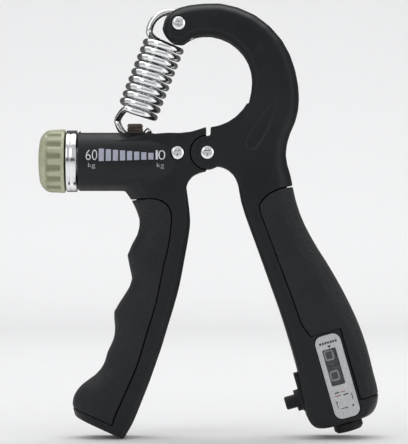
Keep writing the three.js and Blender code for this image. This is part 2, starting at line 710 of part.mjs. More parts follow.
function transferPinion() {
  const s = new THREE.Shape();
  for (let i = 0; i < 8; i++) {
    const a = (2 * Math.PI * i) / 8;
    const corner = (r, d) => [r * Math.cos(a + d), r * Math.sin(a + d)];
    if (i === 0) s.moveTo(...corner(1.3, -0.22));
    else s.lineTo(...corner(1.3, -0.22));
    s.lineTo(...corner(1.9, -0.14));
    s.lineTo(...corner(1.9, 0.14));
    s.lineTo(...corner(1.3, 0.22));
  }
  const bore = new THREE.Path();
  bore.absarc(0, 0, 0.85, 0, 2 * Math.PI, true);
  s.holes.push(bore);
  const g = new THREE.ExtrudeGeometry(s, { depth: 4, bevelEnabled: false, curveSegments: 12 });
  g.translate(AXLE.x, PINION_Y, 2.2);
  return inCounter(solid(g));
}

function pinionPin() {
  const g = rod(0.6, -15.6, 14, 12);
  g.translate(AXLE.x, PINION_Y, 0);
  return inCounter(g);
}

function counterAxle() {
  const g = rod(AXLE_R, -20.2, 14.6, 16);
  g.translate(AXLE.x, AXLE.y, 0);
  return inCounter(g);
}

function resetKnob() {
  const body = solid(turned([
    [AXLE_R + GAP, -18.4], [5.4, -18.4], [5.6, -18.7], [5.6, -20.6], [4.6, -21.7], [0, -21.7], [0, -20.5],
    [AXLE_R + GAP, -20.5], [AXLE_R + GAP, -18.4]], 28));
  const bar = box(-4.2, 4.2, -0.5, 0.5, -23, -21.2);
  const g = bufferOf(body.subtract(bar));
  g.translate(AXLE.x, AXLE.y, 0);
  return inCounter(g);
}

function endCap() {
  const disc = upright(rod(CAP.r, CAP.bottom, CAP.top, 32), AXLE.x, AXLE.y);
  const key = upright(rod(2.25, CAP.bottom, CAP.top, 16), AXLE.x, PINION_Y);
  const hole = upright(rod(AXLE_R + GAP, -30, 0, 16), AXLE.x, AXLE.y);
  const blind = upright(rod(0.9, CAP.bottom + 2, 0, 12), AXLE.x, PINION_Y);
  return inCounter(disc.add(key).subtract(hole).subtract(blind));
}

function buttonBezel() {
  const plate = box(-15.5, -13.6, AXLE.y - 4.2, AXLE.y + 4.2, -9.6, 4.8);
  const collar = solid(alongX(rod(4.1, -17.4, -14, 28), AXLE.y, BUTTON_Z));
  const hole = solid(alongX(rod(BUTTON_R + GAP, -30, -10, 20), AXLE.y, BUTTON_Z));
  const pocket = solid(alongX(rod(3.9, -14.6, -10, 24), AXLE.y, BUTTON_Z));
  return inCounter(plate.add(collar).subtract(hole).subtract(pocket));
}

function countButton() {
  const g = turned([
    [0, -21.5], [BUTTON_R - 0.4, -21.5], [BUTTON_R, -21.1], [BUTTON_R, -14.4], [3.5, -14.3], [3.5, -13.7],
    [1.4, -13.7], [1.4, -9.2], [0, -9.2]], 20);
  return inCounter(alongX(g, AXLE.y, BUTTON_Z));
}

function pawl() {
  const base = box(-8.8, -8.2, AXLE.y - 1.2, 3.3, BUTTON_Z - 1.2, BUTTON_Z + 1.2);
  const finger = box(-8.8, -4.2, 2.5, 3.3, BUTTON_Z - 1.2, BUTTON_Z + 1.2);
  return inCounter(base.add(finger));
}

function buttonSpring() {
  const points = [];
  const turns = 3;
  for (let i = 0; i <= turns * 8; i++) {
    const a = (2 * Math.PI * i) / 8;
    const x = -13.35 + (3.6 * i) / (turns * 8);
    points.push(new THREE.Vector3(x, AXLE.y + 2.6 * Math.cos(a), BUTTON_Z + 2.6 * Math.sin(a)));
  }
  return inCounter(sweep(points, 0.22, turns * 10, 6));
}

// ---------- assembly ----------
const exerciser = new THREE.Group();
exerciser.name = 'finger_exerciser';
exerciser.add(
  piece('finger_handle_core', fingerCore(), BLACK, 0, 0.45),
  piece('finger_grip_sleeve', fingerGrip(), RUBBER, 0, 0.85),
  piece('collar_ring', collarRing(), CHROME, 1, 0.15),
  piece('tail_bush', tailBush(), BRONZE, 0.8, 0.4),
  piece('barrel_screw', crossScrew(BARREL_PIN, BARREL_SHANK, ARM_DEPTH - 0.8, 7.6), CHROME, 1, 0.2),
  piece('barrel_cap_nut', capNut(BARREL_PIN, BARREL_SHANK, NUT_MOUTH, ARM_DEPTH - 0.5), CHROME, 1, 0.2),
  piece('adjuster_knob', adjusterKnob(), OLIVE, 0, 0.5),
  piece('lead_screw', leadScrew(), CHROME, 1, 0.3),
  piece('spring_nut', springNut(), BRONZE, 0.8, 0.4),
  piece('tension_spring', tensionSpring(), CHROME, 1, 0.15),
  piece('spring_bush', springBush(), CHROME, 1, 0.3),
  piece('palm_handle_core', palmCore(), BLACK, 0, 0.45),
  piece('palm_grip_sleeve', palmGrip(), RUBBER, 0, 0.85),
  piece('pivot_screw', crossScrew(PIVOT, PIVOT_SHANK, ARM_DEPTH - 0.8, 7.6), CHROME, 1, 0.2),
  piece('pivot_cap_nut', capNut(PIVOT, PIVOT_SHANK, NUT_MOUTH, ARM_DEPTH - 0.5), CHROME, 1, 0.2),
  piece('arm_screw', crossScrew(ARM_PIN, ARM_SHANK, ARM_DEPTH - 0.8, 7.6), CHROME, 1, 0.2),
  piece('arm_cap_nut', capNut(ARM_PIN, ARM_SHANK, NUT_MOUTH, ARM_DEPTH - 0.5), CHROME, 1, 0.2),
  piece('end_cap', endCap(), BLACK, 0, 0.5),
  piece('label_plate', labelPlate(), SILVER, 0.6, 0.35),
  piece('window_lens', windowLens(), GLASS, 0, 0.1),
  piece('button_bezel', buttonBezel(), BLACK, 0, 0.5),
  piece('pinion_pin', pinionPin(), CHROME, 1, 0.3),
  piece('counter_axle', counterAxle(), CHROME, 1, 0.3),
  piece('reset_knob', resetKnob(), BLACK, 0, 0.5),
  piece('tens_wheel', numberWheel(4.6, 11.8), NYLON, 0, 0.6),
  piece('units_wheel', numberWheel(-3.3, 3.9), NYLON, 0, 0.6),
  piece('ratchet_wheel', ratchetWheel(), NYLON, 0, 0.6),
  piece('transfer_pinion', transferPinion(), NYLON, 0, 0.6),
  piece('count_button', countButton(), BLACK, 0, 0.5),
  piece('pawl', pawl(), CHROME, 1, 0.3),
  piece('button_spring', buttonSpring(), CHROME, 1, 0.3),
);
exerciser.position.set(PIVOT_X, 0, PIVOT_HEIGHT);

export default exerciser;
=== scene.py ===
"""Looks of the finger exerciser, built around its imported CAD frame. Metres, +Z up, -Y is the front."""
import json
import math

import bmesh
import bpy
import numpy as np
from mathutils import Matrix, Vector
from mathutils.bvhtree import BVHTree
from mathutils.kdtree import KDTree


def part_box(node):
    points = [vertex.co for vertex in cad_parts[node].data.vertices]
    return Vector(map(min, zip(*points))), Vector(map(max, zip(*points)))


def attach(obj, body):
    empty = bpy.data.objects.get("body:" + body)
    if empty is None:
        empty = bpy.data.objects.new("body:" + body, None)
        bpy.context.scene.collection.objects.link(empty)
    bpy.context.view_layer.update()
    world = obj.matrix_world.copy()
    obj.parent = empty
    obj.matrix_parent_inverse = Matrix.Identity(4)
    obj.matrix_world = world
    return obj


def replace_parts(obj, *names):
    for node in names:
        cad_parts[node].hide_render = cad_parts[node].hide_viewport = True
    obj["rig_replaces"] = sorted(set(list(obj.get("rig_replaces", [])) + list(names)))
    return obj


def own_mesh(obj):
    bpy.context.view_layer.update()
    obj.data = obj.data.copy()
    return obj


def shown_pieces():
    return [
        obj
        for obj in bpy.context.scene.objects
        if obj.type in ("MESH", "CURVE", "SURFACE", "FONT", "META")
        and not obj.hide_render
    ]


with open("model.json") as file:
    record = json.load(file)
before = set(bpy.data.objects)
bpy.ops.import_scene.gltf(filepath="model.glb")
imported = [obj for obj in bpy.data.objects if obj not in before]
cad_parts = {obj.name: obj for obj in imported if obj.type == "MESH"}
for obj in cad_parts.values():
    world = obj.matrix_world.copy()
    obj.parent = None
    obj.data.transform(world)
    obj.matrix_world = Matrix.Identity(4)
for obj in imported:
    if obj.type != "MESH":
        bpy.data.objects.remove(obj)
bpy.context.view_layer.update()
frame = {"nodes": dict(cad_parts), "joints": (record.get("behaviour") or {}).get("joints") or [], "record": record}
NODES = frame["nodes"]
JOINTS = {joint["name"]: joint for joint in frame["joints"]}
SLOTS = {part["node"]: part["material_slot"] for part in frame["record"]["subparts"]}
BODY_OF = {n: body for body, nodes in frame["record"]["behaviour"]["bodies"].items() for n in nodes}
MM = 0.001
SCENE = bpy.context.scene

# The counter's own directions: along its axle, across the handle, and towards the viewer.
AXLE = Vector(JOINTS["units_turn"]["pos_m"])
ALONG = Vector(JOINTS["units_turn"]["axis"]).normalized()
ACROSS = Vector(JOINTS["count_press"]["axis"]).normalized()
FRONT = Vector((0, -1, 0))


# ---------- materials ----------
class Paint:
    """A node material under construction."""

    def __init__(self, name):
        self.material = bpy.data.materials.new(name)
        self.material.use_nodes = True
        self.tree = self.material.node_tree
        self.shader = self.tree.nodes["Principled BSDF"]
        self.output = self.tree.nodes["Material Output"]
        coordinates = self.tree.nodes.new("ShaderNodeTexCoord")
        self.place = coordinates.outputs["Object"]

    def node(self, kind, **inputs):
        made = self.tree.nodes.new("ShaderNode" + kind)
        for key, value in inputs.items():
            socket = made.inputs[int(key[1:])] if key[0] == "_" else made.inputs[key.replace("_", " ")]
            if isinstance(value, bpy.types.NodeSocket):
                self.tree.links.new(value, socket)
            else:
                socket.default_value = value
        return made

    def combined(self, kind, first, second, operation):
        """A Math or VectorMath node with its operation set."""
        made = self.node(kind, _0=first, _1=second)
        made.operation = operation
        return made.outputs[0]

    def stretched(self, scale):
        return self.node("Mapping", Vector=self.place, Scale=scale).outputs[0]

    def noise(self, scale, detail=3.0, rough=0.55, place=None):
        made = self.node("TexNoise", Vector=place or self.place, Scale=scale, Detail=detail, Roughness=rough)
        return made.outputs["Fac"]

    def cells(self, scale, place=None):
        made = self.node("TexVoronoi", Vector=place or self.place, Scale=scale)
        return made.outputs["Distance"]

    def ranged(self, value, low, high, start=0.3, end=0.7):
        made = self.node("MapRange", Value=value)
        for key, number in (("From Min", start), ("From Max", end), ("To Min", low), ("To Max", high)):
            made.inputs[key].default_value = number
        return made.outputs[0]

    def mixed(self, amount, first, second):
        made = self.tree.nodes.new("ShaderNodeMix")
        made.data_type = "RGBA"
        for index, value in ((0, amount), (6, first), (7, second)):
            if isinstance(value, bpy.types.NodeSocket):
                self.tree.links.new(value, made.inputs[index])
            elif index == 0:
                made.inputs[0].default_value = value
            else:
                made.inputs[index].default_value = (*value, 1)
        return made.outputs[2]

    def bump(self, height, distance_mm, strength=1.0, normal=None):
        made = self.node("Bump", Height=height, Strength=strength, Distance=distance_mm * MM)
        if normal is not None:
            self.tree.links.new(normal, made.inputs["Normal"])
        return made.outputs[0]

    def set(self, **values):
        for key, value in values.items():
            socket = self.shader.inputs[key.replace("_", " ")]
            if isinstance(value, bpy.types.NodeSocket):
                self.tree.links.new(value, socket)
            elif isinstance(value, tuple) and len(value) == 3:
                socket.default_value = (*value, 1)
            else:
                socket.default_value = value
        return self.material


def black_plastic():
    p = Paint("black_plastic")
    cloud = p.noise(45, 4)
    scuff = p.noise(1.0, 5, 0.6, p.stretched((260, 900, 120)))
    grain = p.noise(3600, 2, 0.6)
    tone = p.mixed(p.ranged(cloud, 0, 1), (0.0085, 0.0096, 0.0108), (0.0125, 0.0136, 0.015))
    tone = p.mixed(p.ranged(scuff, 0, 0.35, 0.62, 0.8), tone, (0.04, 0.042, 0.045))
    rough = p.combined("Math", p.ranged(cloud, 0.36, 0.47), p.ranged(scuff, 0, 0.12, 0.5, 0.8), "ADD")
    return p.set(Base_Color=tone, Roughness=rough, Normal=p.bump(grain, 0.02, 0.5), IOR=1.33)


def grip_rubber():
    p = Paint("grip_rubber")
    cloud = p.noise(70, 4)
    pebble = p.cells(1500)
    fine = p.noise(5200, 2)
    dust = p.noise(420, 5, 0.7)
    tone = p.mixed(p.ranged(cloud, 0, 1), (0.0085, 0.0092, 0.0102), (0.013, 0.014, 0.0155))
    tone = p.mixed(p.ranged(dust, 0, 0.3, 0.58, 0.78), tone, (0.045, 0.046, 0.048))
    rough = p.ranged(dust, 0.5, 0.68)
    normal = p.bump(fine, 0.015, 0.5, p.bump(pebble, 0.06, 0.7))
    p.shader.inputs["Sheen Weight"].default_value = 0.06
    return p.set(Base_Color=tone, Roughness=rough, Normal=normal, IOR=1.36)


def bright_chrome():
    p = Paint("bright_chrome")
    smear = p.noise(160, 4, 0.6)
    lines = p.noise(1.0, 3, 0.7, p.stretched((900, 2600, 7000)))
    tone = p.mixed(p.ranged(smear, 0, 1), (0.74, 0.75, 0.76), (0.86, 0.86, 0.86))
    rough = p.ranged(smear, 0.07, 0.17)
    return p.set(Base_Color=tone, Metallic=1.0, Roughness=rough, Normal=p.bump(lines, 0.008, 0.35))


def plain_steel():
    p = Paint("plain_steel")
    smear = p.noise(220, 4)
    lines = p.noise(1.0, 3, 0.7, p.stretched((5200, 900, 900)))
    tone = p.mixed(p.ranged(smear, 0, 1), (0.42, 0.42, 0.42), (0.6, 0.6, 0.6))
    rough = p.ranged(lines, 0.24, 0.42)
    return p.set(Base_Color=tone, Metallic=1.0, Roughness=rough, Normal=p.bump(lines, 0.02, 0.5))


def bronze():
    p = Paint("bronze")
    smear = p.noise(300, 4)
    lines = p.noise(1.0, 2, 0.6, p.stretched((120, 120, 2600)))
    tone = p.mixed(p.ranged(smear, 0, 1), (0.03, 0.021, 0.016), (0.07, 0.05, 0.038))
    tone = p.mixed(p.ranged(lines, 0, 1, 0.45, 0.62), tone, (0.16, 0.125, 0.1))
    rough = p.ranged(smear, 0.34, 0.5)
    return p.set(Base_Color=tone, Metallic=0.6, Roughness=rough, Normal=p.bump(lines, 0.05, 0.7))


RIB_RADIUS = 12.1 * MM
RIB_FOOT, RIB_TOP = RIB_RADIUS - 0.75 * MM, RIB_RADIUS - 0.2 * MM
DOME_DEPTH, RIBS_START = 2.4 * MM, 3.6 * MM


def olive_plastic():
    """Pale on the ribs and on the domed end, with painted shade darkening the valleys between the ribs."""
    p = Paint("olive_plastic")
    cloud = p.noise(130, 4)
    swirl = p.noise(1.0, 3, 0.6, p.stretched((90, 420, 420)))
    rib = p.mixed(p.ranged(cloud, 0, 1), (0.36, 0.365, 0.24), (0.47, 0.472, 0.335))
    rib = p.mixed(p.ranged(swirl, 0, 0.5, 0.5, 0.75), rib, (0.6, 0.59, 0.47))
    from_axis = p.combined("VectorMath", p.place, tuple(JOINTS["knob_turn"]["pos_m"]), "SUBTRACT")
    flat = p.combined("VectorMath", from_axis, (0, 1, 1), "MULTIPLY")
    radius = p.node("VectorMath", _0=flat)
    radius.operation = "LENGTH"
    high = p.ranged(radius.outputs["Value"], 0, 1, RIB_FOOT, RIB_TOP)
    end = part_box("adjuster_knob")[0].x
    depth = p.node("SeparateXYZ", Vector=p.place).outputs["X"]
    dome = p.ranged(depth, 1, 0, end + DOME_DEPTH, end + RIBS_START)
    unshaded_face = p.combined("Math", high, dome, "MAXIMUM")
    # Painted shade: the valleys between the ribs get a darker olive, while the ribs' tops and the domed end stay
    # pale.
    tone = p.mixed(unshaded_face, (0.24, 0.247, 0.145), rib)
    grain = p.noise(3000, 2)
    p.shader.inputs["Subsurface Radius"].default_value = (1.0, 0.95, 0.6)
    return p.set(Base_Color=tone, Roughness=p.ranged(cloud, 0.3, 0.42), Subsurface_Weight=0.45,
                 Subsurface_Scale=2.2 * MM, Coat_Weight=0.15, Normal=p.bump(grain, 0.015, 0.4), IOR=1.48)


def silver_plate():
    p = Paint("silver_plate")
    cloud = p.noise(240, 3)
    speckle = p.noise(2600, 2, 0.7)
    tone = p.mixed(p.ranged(speckle, 0, 1, 0.35, 0.65), (0.42, 0.425, 0.43), (0.64, 0.645, 0.65))
    rough = p.ranged(cloud, 0.34, 0.5)
    return p.set(Base_Color=tone, Metallic=0.3, Roughness=rough, Normal=p.bump(speckle, 0.02, 0.5))


def clear_window():
    p = Paint("clear_window")
    smear = p.noise(260, 4)
    clear = p.node("BsdfTransparent", Color=(0.88, 0.89, 0.9, 1)).outputs[0]
    gloss = p.node("BsdfGlossy", Color=(1, 1, 1, 1), Roughness=p.ranged(smear, 0.03, 0.12)).outputs[0]
    facing = p.node("Fresnel", IOR=1.46).outputs[0]
    mixed = p.node("MixShader", _0=facing, _1=clear, _2=gloss).outputs[0]
    p.tree.links.new(mixed, p.output.inputs["Surface"])
    return p.material


def counter_nylon():
    p = Paint("counter_nylon")
    cloud = p.noise(500, 4)
    tone = p.mixed(p.ranged(cloud, 0, 1), (0.05, 0.051, 0.053), (0.085, 0.086, 0.09))
    normal = p.bump(p.noise(4000, 2), 0.01, 0.4)
    return p.set(Base_Color=tone, Roughness=p.ranged(cloud, 0.4, 0.6), Normal=normal)


def ink(name, thin, thick, roughness=0.5):
    """Printed ink: a little uneven, with a slight grain."""
    p = Paint(name)
    patchy = p.noise(2400, 3, 0.7)
    tone = p.mixed(p.ranged(patchy, 0, 1, 0.3, 0.55), thin, thick)
    return p.set(Base_Color=tone, Roughness=p.ranged(patchy, roughness, roughness + 0.15),
                 Normal=p.bump(patchy, 0.01, 0.4))


PAINTS = {
    "black_plastic": black_plastic(),
    "grip_rubber": grip_rubber(),
    "bright_chrome": bright_chrome(),
    "plain_steel": plain_steel(),
    "bronze": bronze(),
    "olive_plastic": olive_plastic(),
    "silver_plate": silver_plate(),
    "clear_window": clear_window(),
    "counter_nylon": counter_nylon(),
}
WHITE_INK = ink("white_ink", (0.42, 0.43, 0.47), (0.72, 0.73, 0.78))
BAR_INK = ink("bar_ink", (0.26, 0.27, 0.34), (0.4, 0.41, 0.5))
DIGIT_INK = ink("digit_ink", (0.72, 0.72, 0.72), (0.88, 0.88, 0.87))
BLACK_INK = ink("black_ink", (0.03, 0.03, 0.032), (0.012, 0.012, 0.013))
RED_INK = ink("red_ink", (0.36, 0.12, 0.1), (0.3, 0.07, 0.06))


# ---------- meshes ----------
def add_object(name, mesh, material):
    """A new object at the origin; its mesh is in the row frame."""
    made = bpy.data.objects.new(name, mesh)
    SCENE.collection.objects.link(made)
    mesh.materials.clear()
    mesh.materials.append(material)
    return made


def stand_for(made, *nodes):
    """Lets a new piece take the place and the body of its CAD nodes."""
    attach(made, BODY_OF[nodes[0]])
    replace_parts(made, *nodes)
    return made


def evaluated(made):
    graph = bpy.context.evaluated_depsgraph_get()
    return bpy.data.meshes.new_from_object(made.evaluated_get(graph), depsgraph=graph)


def bake_modifier(made, kind, **settings):
    """Applies one modifier to an object's mesh."""
    modifier = made.modifiers.new(kind.lower(), kind)
    for key, value in settings.items():
        setattr(modifier, key, value)
    old = made.data
    made.data = evaluated(made)
    made.modifiers.clear()
    bpy.data.meshes.remove(old)


WELD_DISTANCE = 2e-6


def welded(node):
    """A CAD node's mesh with its corners joined."""
    joined = bmesh.new()
    joined.from_mesh(NODES[node].data)
    bmesh.ops.remove_doubles(joined, verts=joined.verts, dist=WELD_DISTANCE)
    return joined


CREASE_ANGLE = math.radians(27)
CREASE_STEP = 0.4 * MM
FAR_AWAY = (9, 9, 9)


def crease_tree(joined, least_angle):
    """Points along the edges that turn sharply, for telling corners from facets."""
    points = []
    for edge in joined.edges:
        if len(edge.link_faces) != 2 or edge.calc_face_angle(0) < least_angle:
            continue
        a, b = edge.verts[0].co, edge.verts[1].co
        steps = max(1, int((b - a).length / CREASE_STEP))
        points.extend(a.lerp(b, i / steps) for i in range(steps + 1))
    tree = KDTree(len(points) + 1)
    for index, point in enumerate(points):
        tree.insert(point, index)
    tree.insert(FAR_AWAY, len(points))
    tree.balance()
    return tree


def coordinates(mesh):
    flat = np.zeros(len(mesh.vertices) * 3)
    mesh.vertices.foreach_get("co", flat)
    return flat.reshape(-1, 3)


def relax(mesh, share, passes, crisp_passes):
    """Evens a mesh out. Every vertex gets the crisp passes, and then each gets its share of the rest."""
    points = coordinates(mesh)
    pairs = np.zeros(len(mesh.edges) * 2, np.int64)
    mesh.edges.foreach_get("vertices", pairs)
    first, second = pairs[0::2], pairs[1::2]
    count = len(points)
    degree = np.bincount(pairs, minlength=count).astype(float)
    for step in range(passes):
        mean = np.empty_like(points)
        for k in range(3):
            total = np.bincount(first, weights=points[second, k], minlength=count)
            total += np.bincount(second, weights=points[first, k], minlength=count)
            mean[:, k] = total / degree
        pull = 0.5 if step < crisp_passes else 0.5 * share[:, None]
        points += pull * (mean - points)
    mesh.vertices.foreach_set("co", points.ravel())
    mesh.update()


def softened(node, name, voxel_mm, passes, crisp_passes, reach_mm=1.4, most_faces=90000):
    """A finely meshed copy of a CAD node, with its facets evened out and its corners slightly rounded."""
    joined = welded(node)
    creases = crease_tree(joined, CREASE_ANGLE)
    mesh = bpy.data.meshes.new(name)
    joined.to_mesh(mesh)
    joined.free()
    made = add_object(name, mesh, PAINTS[SLOTS[node]])
    bake_modifier(made, "REMESH", mode="VOXEL", voxel_size=voxel_mm * MM, adaptivity=0.0)
    points = coordinates(made.data)
    distance = np.array([creases.find(point)[2] for point in points])
    share = np.clip(distance / (reach_mm * MM), 0, 1) ** 2
    relax(made.data, share, passes, crisp_passes)
    if len(made.data.polygons) > most_faces:
        bake_modifier(made, "DECIMATE", ratio=most_faces / len(made.data.polygons))
    made.data.materials.clear()
    made.data.materials.append(PAINTS[SLOTS[node]])
    made.data.shade_smooth()
    return stand_for(made, node)


def mesh_from(name, points, faces, material):
    mesh = bpy.data.meshes.new(name)
    mesh.from_pydata([tuple(p) for p in points], [], faces)
    mesh.update()
    return add_object(name, mesh, material)


# ---------- collar ----------
COLLAR_SIDES = 144
COLLAR_GAP = 0.3 * MM
# Points of the rim as (distance from its end, drop) in mm.
SMALL_BEVEL = [(0.0, 0.45), (0.12, 0.16), (0.4, 0.0)]
GROOVE = [(1.5, 0.0), (1.62, 0.1), (1.74, 0.0)]
SPIGOT_RADIUS, SCREW_HOLE_RADIUS = 6 * MM, 3.3 * MM
COLLAR_SPLIT = math.radians(50)


def collar():
    """The chrome ring between the knob and the barrel, turned about the lead screw's axis."""
    low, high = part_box("collar_ring")
    start, y, z = JOINTS["knob_turn"]["pos_m"]
    rim = (high.z - low.z) / 2
    face = start - COLLAR_GAP
    profile = [(low.x + along * MM, rim - drop * MM) for along, drop in SMALL_BEVEL + GROOVE]
    profile += [(face - along * MM, rim - drop * MM) for along, drop in reversed(SMALL_BEVEL)]
    profile += [(face, SPIGOT_RADIUS), (high.x, SPIGOT_RADIUS)]
    profile += [(high.x, SCREW_HOLE_RADIUS), (low.x, SCREW_HOLE_RADIUS)]
    points, faces = [], []
    for x, r in profile:
        for k in range(COLLAR_SIDES):
            angle = 2 * math.pi * k / COLLAR_SIDES
            points.append((x, y + r * math.cos(angle), z + r * math.sin(angle)))
    for j in range(len(profile)):
        row, following = j * COLLAR_SIDES, (j + 1) % len(profile) * COLLAR_SIDES
        for k in range(COLLAR_SIDES):
            after = (k + 1) % COLLAR_SIDES
            faces.append((row + k, row + after, following + after, following + k))
    made = mesh_from("collar", points, faces, PAINTS["bright_chrome"])
    whole = bmesh.new()
    whole.from_mesh(made.data)
    bmesh.ops.recalc_face_normals(whole, faces=whole.faces)
    whole.to_mesh(made.data)
    whole.free()
    made.data.shade_smooth()
    split = made.modifiers.new("split", "EDGE_SPLIT")
    split.split_angle = COLLAR_SPLIT
    return stand_for(made, "collar_ring")


# ---------- grips ----------
MARK_STEP = 5.0 * MM
MARK_LONG = 1.15 * MM
MARK_WIDE = 0.6 * MM
MARK_HEIGHT = 0.3 * MM
MARK_ROUNDNESS = 0.8
OUTER_GAIN, OUTER_CUT = 2.5, 0.5
FLANK_GAIN, FLANK_CUT = 3.0, 0.6
GIRTH_RADIUS = 11.5 * MM
GRIP_SLICES = 24
GRIP_VOXEL_MM, GRIP_PASSES, GRIP_CRISP_PASSES = 0.34, 26, 2


def grip(node, name, lean):
    """A rubber sleeve with rows of small raised dashes across it. lean is the handle's slope, dx over dz.

    The dashes fade where the sleeve faces inwards, and towards its outline seen from the front.
    """
    made = softened(node, name, GRIP_VOXEL_MM, GRIP_PASSES, GRIP_CRISP_PASSES)
    mesh = made.data
    points = coordinates(mesh)
    normals = np.zeros(len(mesh.vertices) * 3)
    mesh.vertex_normals.foreach_get("vector", normals)
    normals = normals.reshape(-1, 3)
    low, high = points[:, 2].min(), points[:, 2].max()
    bins = np.linspace(low, high, GRIP_SLICES + 1)
    middles, heights = [], []
    for a, b in zip(bins, bins[1:]):
        inside = (points[:, 2] >= a) & (points[:, 2] <= b)
        middles.append((points[inside, 0].min() + points[inside, 0].max()) / 2)
        heights.append((a + b) / 2)
    middle = np.interp(points[:, 2], heights, middles)
    away_x = points[:, 0] - middle
    run = (high - points[:, 2]) * math.hypot(1, lean) + away_x * math.sin(math.atan(lean))
    girth = np.arctan2(points[:, 1], away_x) * GIRTH_RADIUS
    row = np.round(run / MARK_STEP)
    offset = np.where(row % 2 == 0, 0.0, 0.5) * MARK_STEP
    column = np.round((girth - offset) / MARK_STEP)
    across = (girth - offset - column * MARK_STEP) / MARK_LONG
    along = (run - row * MARK_STEP) / MARK_WIDE
    dome = np.clip(1 - across ** 2 - along ** 2, 0, 1) ** MARK_ROUNDNESS
    facing = normals[:, 0] * away_x + normals[:, 1] * points[:, 1]
    from_middle = np.maximum(np.hypot(away_x, points[:, 1]), 1e-6)
    outer = np.clip(facing / from_middle * OUTER_GAIN - OUTER_CUT, 0, 1)
    flank = np.clip(np.abs(normals[:, 1]) * FLANK_GAIN - FLANK_CUT, 0, 1)
    rise = dome * outer * flank * MARK_HEIGHT
    mesh.vertices.foreach_set("co", (points + normals * rise[:, None]).ravel())
    mesh.update()
    return made


# ---------- wire ----------
def wire_path(node, sides):
    """The centre line of a swept CAD wire, from the rings of its mesh, starting at its lower end."""
    joined = welded(node)
    joined.verts.ensure_lookup_table()
    links = [[e.other_vert(v).index for e in v.link_edges] for v in joined.verts]
    points = [v.co.copy() for v in joined.verts]
    joined.free()

    def layers(start):
        seen, current, found = set(start), list(start), []
        while current:
            found.append(current)
            following = []
            for index in current:
                for other in links[index]:
                    if other not in seen:
                        seen.add(other)
                        following.append(other)
            current = following
        return found

    tips = [layers([0])[-1][0]]
    tips.append(layers([tips[0]])[-1][0])
    tip = min(tips, key=lambda index: points[index].z)
    ring = sorted(range(len(points)), key=lambda index: (points[index] - points[tip]).length)[:sides]
    rings = layers(ring)
    return [sum((points[i] for i in ring), Vector()) / len(ring) for ring in rings if len(ring) == sides]


def rounder(path, steps):
    """The same line through the same points, with steps points to each span."""
    fine = []
    for i in range(len(path) - 1):
        before, a, b = path[max(i - 1, 0)], path[i], path[i + 1]
        after = path[min(i + 2, len(path) - 1)]
        for k in range(steps):
            t = k / steps
            fine.append(0.5 * (2 * a + (b - before) * t + (2 * before - 5 * a + 4 * b - after) * t * t
                               + (3 * a - before - 3 * b + after) * t ** 3))
    return fine + [path[-1]]


END_CHAMFER, END_RADIUS = 0.25, 0.72


def wire(name, path, radius, sides, material):
    """A round wire along a line, with its two ends slightly chamfered."""
    ahead, behind = path[1:] + path[-1:], path[:1] + path[:-1]
    tangents = [(after - before).normalized() for after, before in zip(ahead, behind)]
    side = tangents[0].orthogonal().normalized()
    stations = []
    for point, tangent in zip(path, tangents):
        side = (side - tangent * side.dot(tangent)).normalized()
        stations.append((point, side, tangent.cross(side), radius))
    first, last = stations[0], stations[-1]
    chamfer = radius * END_CHAMFER
    stations.insert(0, (first[0] - tangents[0] * chamfer, first[1], first[2], radius * END_RADIUS))
    stations.append((last[0] + tangents[-1] * chamfer, last[1], last[2], radius * END_RADIUS))
    points = []
    for centre, u, v, r in stations:
        for k in range(sides):
            angle = 2 * math.pi * k / sides
            points.append(centre + (u * math.cos(angle) + v * math.sin(angle)) * r)
    faces = []
    for j in range(len(stations) - 1):
        for k in range(sides):
            a, b = j * sides + k, j * sides + (k + 1) % sides
            faces.append((a, b, b + sides, a + sides))
    last_ring = (len(stations) - 1) * sides
    faces.append(tuple(reversed(range(sides))))
    faces.append(tuple(range(last_ring, last_ring + sides)))
    made = mesh_from(name, points, faces, material)
    made.data.shade_smooth()
    return made


def circle_through(a, b, c):
    """The centre of the circle in the XZ plane through three points."""
    rows = np.array([[2 * (b.x - a.x), 2 * (b.z - a.z)], [2 * (c.x - a.x), 2 * (c.z - a.z)]])
    ends = np.array([b.x ** 2 + b.z ** 2 - a.x ** 2 - a.z ** 2, c.x ** 2 + c.z ** 2 - a.x ** 2 - a.z ** 2])
    x, z = np.linalg.solve(rows, ends)
    return Vector((x, 0, z))


def empty(name, place, body):
    made = bpy.data.objects.new(name, None)
    SCENE.collection.objects.link(made)
    made.location = place
    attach(made, body)
    return made


SPRING_WIRE_RADIUS = 1.27 * MM
SPRING_CAD_SIDES = 8
SPRING_SIDES = 22


def tension_spring():
    """The spring swings with its body, and the nut pulls its lower hook along, which opens the coils."""
    path = wire_path("tension_spring", SPRING_CAD_SIDES)
    made = wire("chrome_spring", rounder(path, 4), SPRING_WIRE_RADIUS, SPRING_SIDES, PAINTS["bright_chrome"])
    stand_for(made, "tension_spring")
    hook = circle_through(path[0], path[2], path[4])
    turning = [i for i, p in enumerate(path) if abs(p.y) > SPRING_WIRE_RADIUS * 2]
    group = made.vertex_groups.new(name="lower_end")
    ring_count = len(made.data.vertices) // SPRING_SIDES
    spans = ring_count - 3
    for j in range(ring_count):
        place = min(max(j - 1, 0), spans) / spans * (len(path) - 1)
        if place <= turning[0]:
            weight = 1.0
        elif place >= turning[-1]:
            weight = 0.0
        else:
            weight = 1 - (place - turning[0]) / (turning[-1] - turning[0])
        group.add(list(range(j * SPRING_SIDES, (j + 1) * SPRING_SIDES)), weight, "REPLACE")
    at_nut = empty("hook_at_nut", hook, "nut_carrier")
    puller = empty("hook_puller", hook, "spring")
    follow = puller.constraints.new("COPY_LOCATION")
    follow.target = at_nut
    pull = made.modifiers.new("pull", "HOOK")
    pull.object = puller
    pull.vertex_group = group.name
    pull.falloff_type = "NONE"
    pull.matrix_inverse = Matrix.Translation(-hook)


BUTTON_WIRE_RADIUS = 0.22 * MM
BUTTON_CAD_SIDES = 6
BUTTON_SIDES = 10


